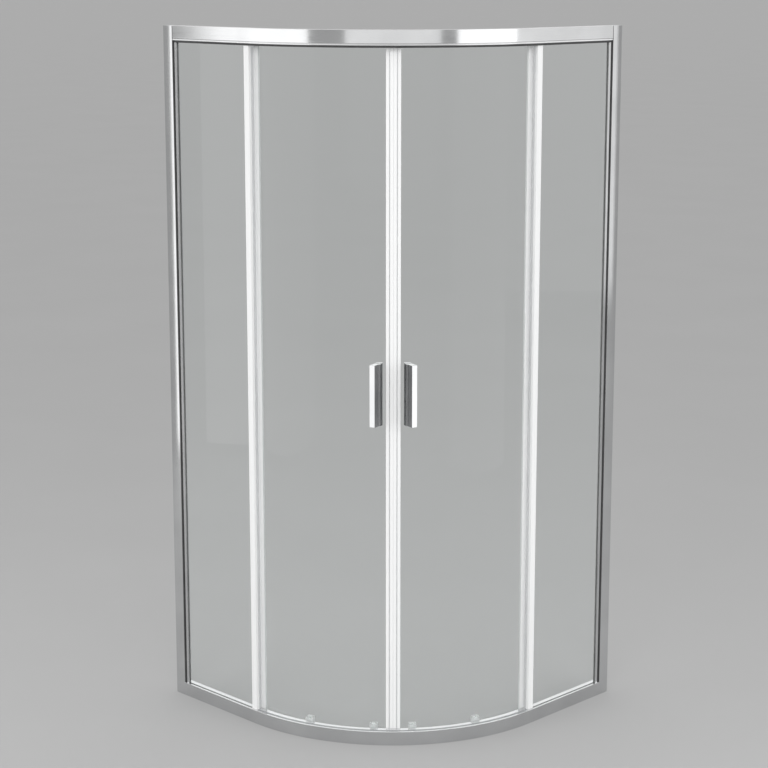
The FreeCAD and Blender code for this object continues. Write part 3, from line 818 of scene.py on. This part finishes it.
# ---- nodes that keep their shape ----
def kept(names, material, width=0.3, bevel=True):
    """CAD nodes with their own shape, softened edges and a better material."""
    for name in names:
        node = nodes[name]
        if bevel:
            weld = node.modifiers.new("weld", "WELD")
            weld.merge_threshold = 0.01 * MM
            flat = node.modifiers.new("flat", "DECIMATE")
            flat.decimate_type = "DISSOLVE"
            flat.angle_limit = math.radians(1)
            bevelled(node, width)
            normals = node.modifiers.new("normals", "WEIGHTED_NORMAL")
            normals.keep_sharp = True
        for place in node.material_slots:
            place.material = material


def sides(*names):
    return [name + side for name in names for side in ("_left", "_right")]


def build():
    top_rail()
    bottom_rail()
    fixed_glass()
    door_glass()
    edge_seal()
    rear_seal()
    magnet_seal()
    wheels()
    carrier_caps()
    handles()
    painted_shade_strip()
    wall_profile()
    kept(sides("side_post"), aluminium_post, 0.5)
    kept(["post_caps"], cap_plastic, 0.4)
    kept(["corner_connectors"], zinc, 0.3)
    kept(["connector_screws", "post_screws"] + sides("handle_screws"), steel, 0.3)
    kept(sides("glass_gasket"), gasket_rubber, 0.4)
    kept(["end_stops"], rubber_and_painted_shade, 0.6)
    kept(sides("magnet_strip"), magnet_rubber, bevel=False)
    kept(sides("top_carrier_rear", "top_carrier_front"), zinc, 0.5)
    kept(sides("guide_housings", "guide_nuts"), guide_plastic, 0.5)
    kept(sides("guide_slider_rear", "guide_slider_front"), guide_plastic, 0.3)
    kept(sides("handle_inner"), chrome, bevel=False)


build()


# ---- floor, light and camera ----
def floor():
    mesh = bpy.data.meshes.new("floor")
    far = floor_reach
    corners = [(-far, -far, 0), (far, -far, 0), (far, far, 0), (-far, far, 0)]
    mesh.from_pydata(corners, [], [(0, 1, 2, 3)])
    ground = bpy.data.objects.new("floor", mesh)
    bpy.context.scene.collection.objects.link(ground)
    material, tree, bsdf = shader("pale_floor", (0.48, 0.48, 0.48), 0.8)
    bsdf.inputs["Specular IOR Level"].default_value = 0.1
    clouds = grain(tree, 1.5, 3.0)
    tree.links.new(blended(tree, clouds, (0.475, 0.475, 0.475), (0.485, 0.485, 0.485)),
                   bsdf.inputs["Base Color"])
    mesh.materials.append(material)


def world():
    sky = bpy.data.worlds.new("studio")
    bpy.context.scene.world = sky
    sky.use_nodes = True
    tree = sky.node_tree
    background = tree.nodes["Background"]
    place = tree.nodes.new("ShaderNodeTexCoord")
    split = tree.nodes.new("ShaderNodeSeparateXYZ")
    ramp = tree.nodes.new("ShaderNodeValToRGB")
    tones = ((0.0, 0.45), (0.12, 1.5), (0.45, 1.5), (0.75, 0.7))   # sine of the elevation, grey
    for rise, grey in tones[2:]:
        ramp.color_ramp.elements.new(rise)
    for stop, (rise, grey) in zip(ramp.color_ramp.elements, tones):
        stop.position = rise
        stop.color = (grey, grey, grey, 1)
    tree.links.new(place.outputs["Generated"], split.inputs["Vector"])
    tree.links.new(split.outputs["Z"], ramp.inputs["Fac"])
    tree.links.new(ramp.outputs["Color"], background.inputs["Color"])
    background.inputs["Strength"].default_value = 0.8


def lamp(name, place, aim, size, watts, mirrored=True):
    """Softbox; mirrored says whether metal and glass show it."""
    light = bpy.data.lights.new(name, "AREA")
    light.shape = "RECTANGLE"
    light.size, light.size_y = size
    light.energy = watts
    holder = bpy.data.objects.new(name, light)
    bpy.context.scene.collection.objects.link(holder)
    holder.location = place
    holder.visible_camera = False
    holder.visible_transmission = False
    holder.visible_glossy = mirrored
    way = Vector(aim) - Vector(place)
    holder.rotation_euler = way.to_track_quat("-Z", "Y").to_euler()


def camera():
    data = bpy.data.cameras.new("camera")
    data.sensor_width = 36.0
    data.lens = camera_lens
    data.shift_y = camera_shift
    data.clip_end = camera_reach
    holder = bpy.data.objects.new("camera", data)
    bpy.context.scene.collection.objects.link(holder)
    holder.location = camera_place
    holder.rotation_euler = (math.radians(90 - camera_down), 0, math.radians(camera_turn))
    bpy.context.scene.camera = holder


floor()
world()
lamp("left_softbox", (-1.38, -2.98, 1.3), (0.1, -0.1, 1.3), (2.74, 2.5), 23)
lamp("right_softbox", (3.0, 0.45, 1.3), (0.1, -0.1, 1.3), (2.0, 2.5), 19)
lamp("front_wash", (5.2, -5.2, 1.7), (0, 0, 1.7), (7.5, 2.0), 28)
lamp("right_wash", (4.6, 3.9, 1.5), (0.4, 0.2, 1.5), (2.6, 2.4), 11)
lamp("front", (3.9, -4.5, 3.4), (0, 0, 0.9), (3.0, 2.5), 85, False)
camera()
bpy.context.scene.view_settings.view_transform = "Standard"
